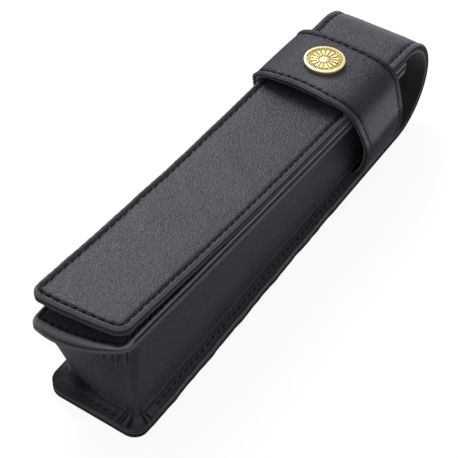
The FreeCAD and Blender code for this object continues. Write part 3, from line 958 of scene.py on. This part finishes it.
def paintGussetLight(piece, share, level, folds):
    spec = gussetPaintedLight
    rows, flangeRow = sum(rowCells.values()), rowCells["lowFlange"]
    atEnd = ease((0.5 - abs(share - 0.5)) / spec["endSoft"] - spec["endFrom"])
    farEnd = atEnd * ease((spec["farTo"] - share) / spec["farSoft"])
    inwards = np.clip(level / flangeRow, 0, 1)  # 0 at the flange's edge, 1 at the foot of the wall
    onFlange = np.clip(flangeRow + spec["flangeRows"] - level, 0, 1)
    litFlange = onFlange * (spec["flangeOut"] + (1 - spec["flangeOut"]) * inwards) * (1 - spec["farDark"] * farEnd)
    topEdgeHighlight = np.clip(level - (rows - spec["topRows"]), 0, 1) * spec["topEdgeHighlight"]
    litLowWall = spec["lowWallLight"] * np.clip(1 - (level - footRow) / rowCells["wall"], 0, 1) ** spec["lowWallFall"]
    corner = spec["corner"] * np.exp(-((share - spec["cornerAt"]) / spec["cornerWide"]) ** 2)
    corner *= np.clip(level - footRow, 0, 1)
    creased = spec["crease"] * np.exp(-((level - flangeRow - spec["creaseAt"]) / spec["creaseRows"]) ** 2)
    ridgeHighlights = spec["ridgeHighlight"] * np.clip(folds / spec["ridgeHigh"], 0, 1)
    # painted highlights on the top edge, near corner and fold ridges, and the flange and lower wall painted lighter
    paint(piece, "rim", np.maximum(topEdgeHighlight + litFlange, litLowWall) + corner + ridgeHighlights)
    # painted shade in the fold valleys and along the crease at the foot of the wall
    paint(piece, "sewn", np.maximum(np.clip(-folds / spec["valleyDeep"], 0, 1), creased))
    # painted shade at the far end of the flange, and darker towards the flange's outer edge at the end
    paint(piece, "inkAndShade", onFlange * (spec["farShade"] * farEnd + spec["endEdgeDark"] * atEnd * (1 - inwards)))


def thicken(piece, thickness):
    shell = piece.modifiers.new("shell", "SOLIDIFY")
    shell.thickness = thickness * mm
    shell.offset = -1.0


gussetColumns = 2 * gussetSpec["sideCells"] + 2 * gussetSpec["cornerCells"] + gussetSpec["endCells"]
gusset = bendGusset(gussetColumns)
thicken(gusset, gussetSpec["thick"])
soften = gusset.modifiers.new("soften", "BEVEL")
soften.width = gussetSpec["softEdge"] * mm
soften.segments = 2
soften.limit_method = "ANGLE"
soften.angle_limit = radians(60)
applyAll(gusset)
tidyMesh(gusset, False)
dress(gusset, gussetLeather)
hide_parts("gusset_leather")
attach(gusset, "case")

linerSpec = dict(inset=0.55, thick=0.6, rows=12)


def layLiner(share, rise):
    x, y, dx, dy = wallStation(share)[:4]
    inset = -(gussetSpec["thick"] + linerSpec["inset"])
    px, py = settleGusset(x + dx * inset, y + dy * inset, rise)
    return Vector((px, py, panelThick + (topLevel(x) - panelThick) * rise)) * mm


gussetLining = newBlank("gussetLining", bpy.ops.mesh.primitive_grid_add, x_subdivisions=gussetColumns,
                        y_subdivisions=linerSpec["rows"], size=1)
setPlaces(gussetLining, [layLiner(p[0] + 0.5, p[1] + 0.5) for p in places(gussetLining)])
thicken(gussetLining, linerSpec["thick"])
applyAll(gussetLining)
paint(gussetLining, "rim", np.zeros(len(gussetLining.data.vertices)))
dress(gussetLining, liningSkin)
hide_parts("gusset_lining")
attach(gussetLining, "case")

flangeSpec = dict(half=14.7, end=backEnd + 2.1, corner=3.2, stop=36.0, turns=8, sewSink=0.16)
flangeStitch = dict(stitchSpec, slant=0.3)


def layFlange(s, t, h):
    return Vector((s, settledBase(s, t), flangeTop + h)) * mm


def flangeLine(spec):  # stitch line round the bottom flange
    line = [(spec["stop"], spec["half"])]
    for i in range(spec["turns"] + 1):
        turn = i / spec["turns"] * pi / 2
        line.append((spec["end"] + spec["corner"] * (1 - sin(turn)),
                     spec["half"] - spec["corner"] * (1 - cos(turn))))
    line += [(x, -y) for x, y in reversed(line)]
    return [(x * mm, y * mm) for x, y in line]


flangeSeam = flangeLine(flangeSpec)
flangeThread = sewRun("flangeThread", flangeSeam, layFlange, flangeSpec, thread=flangeStitch, closed=False)
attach(flangeThread, "case")
print("pen case: gusset turned")

# the keeper band: flat crown, round shoulders, flared sides tucked in at the foot
keeperSpec = dict(
    sewing, setback=11.0, width=28.0, frontLean=14.0, rearLean=8.5, half=14.0, endHalf=14.0, crownLevel=9.3,
    spring=2.04, shoulder=6.3, crownRun=10.889, flare=4.5, side=10.5, footHalf=14.5, footTurn=2.5, over=1.8,
    frontPuff=1.2, rearPuff=0.3, frontSweep=1.0, wander=0.16, corner=0.0, cornerSteps=1, bow=0.0, roll=0.5,
    rollSteps=4, thick=1.1, margin=2.2, sink=0.32, crown=0.15, bead=0.4, burnishAndHighlight=0.5, sewBeyond=11.0, sewSink=0.22,
    wanderSeed=2.3, footGap=0.05
)
# painted light on the keeper: a painted highlight on the crown in front of the badge, painted shade on the shoulders
# and towards the foot
keeperPaintedLight = dict(
    crownHighlight=0.28, crownHighlightAt=4.0, crownHighlightSpan=5.0, crownHighlightFrom=2.0, crownHighlightFade=8.0, shoulder=0.6, shoulderAt=0.55, shoulderSpan=0.5,
    foot=0.75, footFade=5.0
)
keeperRise = keeperSpec["crownLevel"] - keeperSpec["spring"]
crownRadius = ((keeperSpec["crownRun"] ** 2 + keeperRise ** 2 - keeperSpec["shoulder"] ** 2)
               / (2 * (keeperRise - keeperSpec["shoulder"])))
footLevel = flangeTop - mouthZ - keeperSpec["width"] * leanSin
leanOut = atan2(keeperSpec["crownRun"], crownRadius - keeperRise)
sideTurn = pi / 2 - radians(keeperSpec["flare"])
sideOut = Vector((sin(sideTurn), cos(sideTurn)))
sideDown = Vector((cos(sideTurn), -sin(sideTurn)))
shoulderPoint = Vector((keeperSpec["crownRun"], keeperSpec["spring"]))
sideLow = shoulderPoint + sideOut * keeperSpec["shoulder"] + sideDown * keeperSpec["side"]
footFall = Vector((keeperSpec["footHalf"], footLevel)) - sideLow
tuckRadius = -footFall.dot(footFall) / (2 * footFall.dot(sideOut))
tuckTurn = 2 * atan2(-footFall.dot(sideOut), footFall.dot(sideDown))
crownHalf = leanOut * (crownRadius + keeperSpec["over"])
shoulderRun = (sideTurn - leanOut) * (keeperSpec["shoulder"] + keeperSpec["over"])
keeperHalfRun = (crownHalf + shoulderRun + keeperSpec["side"] + tuckTurn * (tuckRadius + keeperSpec["over"])
                 + keeperSpec["footTurn"])
keeperSpec.update(length=2 * keeperHalfRun, cutsAlong=steps(0, 2 * keeperHalfRun, 130), cutsAcross=steps(-14, 14, 26))


def layKeeper(s, across, h):
    spec = keeperSpec
    run = s - keeperHalfRun
    far = abs(run)
    over = spec["over"] + h
    slide = min(max(far - crownHalf - shoulderRun, 0.0), spec["side"])
    if far <= crownHalf:
        turn = far / (crownRadius + spec["over"])
        middle, arm = Vector((0, spec["crownLevel"] - crownRadius)), crownRadius + over
    elif far <= crownHalf + shoulderRun + spec["side"]:
        turn = min(leanOut + (far - crownHalf) / (spec["shoulder"] + spec["over"]), sideTurn)
        middle, arm = shoulderPoint + sideDown * slide, spec["shoulder"] + over
    else:
        turn = sideTurn + (far - crownHalf - shoulderRun - spec["side"]) / (tuckRadius + spec["over"])
        middle, arm = sideLow - sideOut * tuckRadius, tuckRadius + over
    y, z = middle + Vector((sin(turn), cos(turn))) * arm
    rearShare = across / spec["width"] + 0.5
    lean = spec["frontLean"] + (spec["rearLean"] - spec["frontLean"]) * rearShare
    along = -(spec["setback"] + spec["width"] / 2) + across
    fall = min(max((spec["crownLevel"] - z) / (spec["crownLevel"] - footLevel), 0.0), 1.0)
    along += lean * fall + spec["frontSweep"] * sin(pi * fall) * (1 - rearShare)
    along += spec["wander"] * uneven(run, spec["wanderSeed"] + rearShare)
    y += (spec["frontPuff"] + (spec["rearPuff"] - spec["frontPuff"]) * rearShare) * sin(pi * fall)
    spot = topPoint(along, -copysign(1, run) * y if run else 0.0, z)
    spot.z = max(spot.z, (flangeTop + spec["footGap"]) * mm)
    return spot


keeper, keeperSeam, edgeGap, inked, wornAndHighlit = makePanel("keeper", keeperSpec)
where = places(keeper) / mm
run = where[:, 0] - keeperHalfRun
far = abs(run) - crownHalf
wearAndLight = keeperPaintedLight
paintedHighlight = wearAndLight["crownHighlight"] * np.exp(-((run - wearAndLight["crownHighlightAt"]) / wearAndLight["crownHighlightSpan"]) ** 2)  # painted highlight in front of the badge
paintedHighlight *= ease((wearAndLight["crownHighlightFrom"] - where[:, 1]) / wearAndLight["crownHighlightFade"])
# rim paint: wear and painted highlight along the edges, and the painted highlight on the crown
paint(keeper, "rim", wornAndHighlit + paintedHighlight)
shade = wearAndLight["shoulder"] * np.exp(-((far / shoulderRun - wearAndLight["shoulderAt"]) / wearAndLight["shoulderSpan"]) ** 2)
shade += wearAndLight["foot"] * ease((far - shoulderRun - keeperSpec["side"]) / wearAndLight["footFade"])
paint(keeper, "inkAndShade", np.maximum(inked, shade))  # edge ink, and painted shade on the shoulders and towards the foot
layDown(keeper, layKeeper)
dress(keeper, keeperLeather)
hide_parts("keeper_leather")
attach(keeper, "case")

keeperLiningSpec = dict(keeperSpec, half=13.95, endHalf=13.95, cutsAcross=steps(-13, 13, 4), **layer)
keeperLining = linePanel("keeperLining", keeperLiningSpec, layKeeper, keeperSpec["thick"])
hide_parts("keeper_lining")
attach(keeperLining, "case")

keeperThread = sewRun("keeperThread", keeperSeam, layKeeper, keeperSpec,
                      lambda s, t: abs(t) > keeperSpec["sewBeyond"])
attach(keeperThread, "case")
print("pen case: keeper sewn")

# the badge: steps inwards and up from the rim, over the sunk field and the band for the rays, to the boss
badgeRings = ((0.5, 0.0), (0.1, -0.3), (0.08, -0.12), (1.05, 0.0), (2.6, 0.0), (0.3, 0.0), (0.1, 0.28), (0.18, 0.1),
              (0.5, 0.08))
badgeSpec = dict(
    radius=6.6, height=1.7, along=-25.0, seat=11.1, sides=96, roundEdge=0.35, rays=16, rayGap=2, rayDepth=0.32,
    raySlope=0.07, rayFrom=2.2, rayTo=4.4, beads=40, beadRing=5.0, bead=0.27, beadLevel=0.48, fieldEdge=5.75,
    rings=badgeRings, fieldTop=0.66, fieldDeep=0.2, rimTop=0.2, rimDeep=0.8
)


def modelBadge(spec):
    piece = newBlank("badge", bpy.ops.mesh.primitive_cylinder_add, vertices=spec["sides"], radius=spec["radius"] * mm,
                     depth=spec["height"] * mm, location=(0, 0, 0))
    editOn(piece)
    top = spec["height"] / 2 * mm
    pick(piece, "EDGE", lambda c: abs(c.z - top) < 0.001 * mm)
    bpy.ops.mesh.bevel(offset=spec["roundEdge"] * mm, segments=4, affect="EDGES", clamp_overlap=False)
    pick(piece, "FACE", lambda c: c.z > top - 0.001 * mm)
    for width, depth in spec["rings"]:
        insetBy(width, depth)
    perRay = spec["sides"] // spec["rays"]

    def onRay(c):
        step = int((atan2(c.y, c.x) / (2 * pi) + 0.5) * spec["sides"]) % perRay
        inBand = spec["rayFrom"] < hypot(c.x, c.y) / mm < spec["rayTo"]
        return inBand and c.z > 0 and step >= spec["rayGap"]

    pick(piece, "FACE", onRay)
    insetBy(spec["raySlope"], spec["rayDepth"])
    editOff()
    return piece


badge = modelBadge(badgeSpec)
bead = newBlank("bead", bpy.ops.mesh.primitive_uv_sphere_add, segments=8, ring_count=6, radius=badgeSpec["bead"] * mm)
beadSpots = []
for i in range(badgeSpec["beads"]):
    turn = 2 * pi * i / badgeSpec["beads"]
    ring = badgeSpec["beadRing"]
    spot = Vector((ring * cos(turn), ring * sin(turn), badgeSpec["beadLevel"])) * mm
    beadSpots.append(Matrix.Translation(spot))
joinUp([badge] + scatter(bead, beadSpots))
bpy.data.objects.remove(bead)
where = places(badge) / mm
inField = np.hypot(where[:, 0], where[:, 1]) < badgeSpec["fieldEdge"]
fieldSunk = (badgeSpec["fieldTop"] - where[:, 2]) / badgeSpec["fieldDeep"]
paint(badge, "sunk", np.where(inField, fieldSunk, (badgeSpec["rimTop"] - where[:, 2]) / badgeSpec["rimDeep"]))
seat = badgeSpec["seat"] + badgeSpec["height"] / 2
setPlaces(badge, [topPoint(badgeSpec["along"] + p[0], p[1], seat + p[2]) for p in where])
dress(badge, badgeGold, 35)
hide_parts("badge_disc")
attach(badge, "case")
bpy.data.objects.remove(stitch)
print("pen case: badge set")

# table, light and camera
stageSpec = dict(
    floorSize=3.0, floorLevel=-0.00004, floorTone=(0.88, 0.88, 0.88), shadowTone=(0.12, 0.12, 0.125),
    floorGlow=0.91, skyBright=1.2, skyDim=0.40, skyFrom=(0.60, 0.70, 0.40), skyEdge=(0.45, 0.95), cove=1.1,
    coveTop=0.4, keyPower=5.7, keySize=0.45, keyPlace=(0.40, 0.47, 0.66), keyAim=(0, 0, 0.03),
    keyTint=(1.0, 0.99, 0.97)
)


def splitRays(tree, outKind, lighting, looking):  # one shader for rays that light the piece, one for those that look
    rays = addNode(tree, "LightPath").outputs
    direct = figure(tree, "MAXIMUM", rays["Is Camera Ray"], rays["Is Glossy Ray"])
    choose = addNode(tree, "MixShader")
    shares = (figure(tree, "MAXIMUM", direct, rays["Is Transmission Ray"]), lighting, looking)
    for socket, value in zip(choose.inputs, shares):
        feed(tree, socket, value)
    feed(tree, addNode(tree, outKind).inputs["Surface"], choose.outputs["Shader"])


floor = newBlank("floor", bpy.ops.mesh.primitive_plane_add, size=stageSpec["floorSize"], location=(0, 0, 0))
floor.data.transform(Matrix.Translation((0, 0, stageSpec["floorLevel"])))
floorFinish = bpy.data.materials.new("floorPaper")
tree = clearTree(floorFinish)
paper = addNode(tree, "BsdfDiffuse", {"Color": (*stageSpec["floorTone"], 1)})
shadow = addNode(tree, "BsdfDiffuse", {"Color": (*stageSpec["shadowTone"], 1)})
glow = addNode(tree, "Emission", {"Strength": stageSpec["floorGlow"]})
both = addNode(tree, "AddShader")
feed(tree, both.inputs[0], shadow.outputs["BSDF"])
feed(tree, both.inputs[1], glow.outputs["Emission"])
splitRays(tree, "OutputMaterial", paper.outputs["BSDF"], both.outputs["Shader"])
floor.data.materials.append(floorFinish)

world = bpy.data.worlds.new("studio")
scene.world = world
tree = clearTree(world)
fill = addNode(tree, "Background", {"Color": (1.0, 1.0, 1.0, 1)})
white = addNode(tree, "Background", {"Color": (1.0, 1.0, 1.0, 1), "Strength": 1.0})
skyway = addNode(tree, "TexCoord").outputs["Generated"]
facing = addNode(tree, "VectorMath", {1: stageSpec["skyFrom"]}, operation="DOT_PRODUCT")
rising = addNode(tree, "VectorMath", {1: (0.0, 0.0, 1.0)}, operation="DOT_PRODUCT")
feed(tree, facing.inputs[0], skyway)
feed(tree, rising.inputs[0], skyway)
sky = reach(tree, facing.outputs["Value"], stageSpec["skyDim"], stageSpec["skyBright"], *stageSpec["skyEdge"])
cove = reach(tree, rising.outputs["Value"], stageSpec["cove"], 0.0, 0.0, stageSpec["coveTop"])
feed(tree, fill.inputs["Strength"], figure(tree, "ADD", sky, cove))
splitRays(tree, "OutputWorld", fill.outputs["Background"], white.outputs["Background"])

light = bpy.data.lights.new("softBox", "AREA")
light.shape = "SQUARE"
light.size = stageSpec["keySize"]
light.energy = stageSpec["keyPower"]
light.color = stageSpec["keyTint"]
lamp = bpy.data.objects.new("softBox", light)
scene.collection.objects.link(lamp)
lamp.location = stageSpec["keyPlace"]
shine = Vector(stageSpec["keyAim"]) - Vector(stageSpec["keyPlace"])
lamp.rotation_euler = shine.to_track_quat("-Z", "Y").to_euler()

cameraSpec = dict(
    target=(mouthX - 76.56, 1.31, 12.0), distance=414.51, azimuth=-55.26, elevation=47.31, roll=-0.84, lens=105.03,
    sensor=36.0
)
turnAngle, riseAngle = radians(cameraSpec["azimuth"]), radians(cameraSpec["elevation"])
back = Vector((sin(turnAngle) * cos(riseAngle), -cos(turnAngle) * cos(riseAngle),
               sin(riseAngle)))
right = (-back).cross(Vector((0, 0, 1))).normalized()
up = right.cross(-back)
tilt = radians(cameraSpec["roll"])
right, up = right * cos(tilt) + up * sin(tilt), up * cos(tilt) - right * sin(tilt)
cameraData = bpy.data.cameras.new("camera")
cameraData.lens = cameraSpec["lens"]
cameraData.sensor_width = cameraSpec["sensor"]
camera = bpy.data.objects.new("camera", cameraData)
scene.collection.objects.link(camera)
turned = Matrix((right, up, back)).transposed().to_4x4()
camera.matrix_world = Matrix.Translation((Vector(cameraSpec["target"]) + back * cameraSpec["distance"]) * mm) @ turned
scene.camera = camera
scene.view_settings.view_transform = "Standard"
print("pen case: stage lit")
